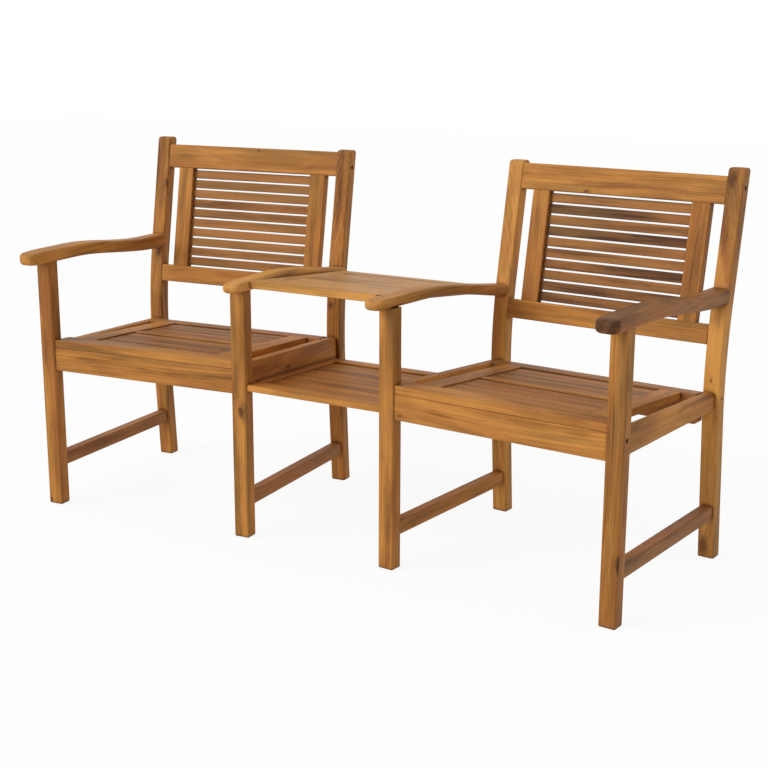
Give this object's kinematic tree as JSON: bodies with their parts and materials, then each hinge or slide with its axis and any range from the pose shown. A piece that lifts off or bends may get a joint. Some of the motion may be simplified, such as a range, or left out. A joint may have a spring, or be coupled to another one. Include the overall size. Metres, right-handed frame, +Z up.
{
  "type": "companion seat bench",
  "caption": "Oiled hardwood companion seat: slatted armchairs turned slightly towards each other, joined by a slatted table at arm height and a shelf at seat height.",
  "frame": {"origin": "on the floor, at the middle of the bench's footprint box", "axes": "+Z up, the sitters look along -Y, +X to the right of somebody who faces the bench"},
  "size_m": [1.6564, 0.6872, 0.8995],
  "materials": {
    "oiled_hardwood": "satin oil, darker heartwood",
    "oiled_hardwood_light": "satin oil, golden",
    "blackened_steel": "dark zinc",
    "steel_pins": "dull zinc"
  },
  "bodies": {
    "root": {"dowels": "oiled_hardwood", "frame_bolts": "blackened_steel", "left_arm_inner": "oiled_hardwood_light", "left_arm_outer": "oiled_hardwood", "left_back_leg_inner": "oiled_hardwood_light", "left_back_leg_outer": "oiled_hardwood_light", "left_back_lower_rail": "oiled_hardwood", "left_back_slats": "oiled_hardwood", "left_back_stile_inner": "oiled_hardwood", "left_back_stile_outer": "oiled_hardwood", "left_back_top_rail": "oiled_hardwood_light", "left_front_leg_inner": "oiled_hardwood_light", "left_front_leg_outer": "oiled_hardwood_light", "left_seat_apron": "oiled_hardwood_light", "left_seat_back_rail": "oiled_hardwood", "left_seat_centre_rail": "oiled_hardwood", "left_seat_front_board": "oiled_hardwood_light", "left_seat_slats": "oiled_hardwood", "left_seat_stile_inner": "oiled_hardwood", "left_seat_stile_outer": "oiled_hardwood", "left_side_rail_inner": "oiled_hardwood", "left_side_rail_outer": "oiled_hardwood", "left_stretcher_inner": "oiled_hardwood", "left_stretcher_outer": "oiled_hardwood", "right_arm_inner": "oiled_hardwood_light", "right_arm_outer": "oiled_hardwood", "right_back_leg_inner": "oiled_hardwood_light", "right_back_leg_outer": "oiled_hardwood_light", "right_back_lower_rail": "oiled_hardwood", "right_back_slats": "oiled_hardwood", "right_back_stile_inner": "oiled_hardwood", "right_back_stile_outer": "oiled_hardwood", "right_back_top_rail": "oiled_hardwood_light", "right_front_leg_inner": "oiled_hardwood_light", "right_front_leg_outer": "oiled_hardwood_light", "right_seat_apron": "oiled_hardwood_light", "right_seat_back_rail": "oiled_hardwood", "right_seat_centre_rail": "oiled_hardwood", "right_seat_front_board": "oiled_hardwood_light", "right_seat_slats": "oiled_hardwood", "right_seat_stile_inner": "oiled_hardwood", "right_seat_stile_outer": "oiled_hardwood", "right_side_rail_inner": "oiled_hardwood", "right_side_rail_outer": "oiled_hardwood", "right_stretcher_inner": "oiled_hardwood", "right_stretcher_outer": "oiled_hardwood", "shelf_back_board": "oiled_hardwood", "shelf_front_board": "oiled_hardwood_light", "shelf_slats": "oiled_hardwood", "shelf_stile_left": "oiled_hardwood", "shelf_stile_right": "oiled_hardwood", "table_back_board": "oiled_hardwood", "table_front_board": "oiled_hardwood_light", "table_slats": "oiled_hardwood", "table_stile_left": "oiled_hardwood", "table_stile_right": "oiled_hardwood", "tenon_pins": "steel_pins"}
  },
  "joints": []
}
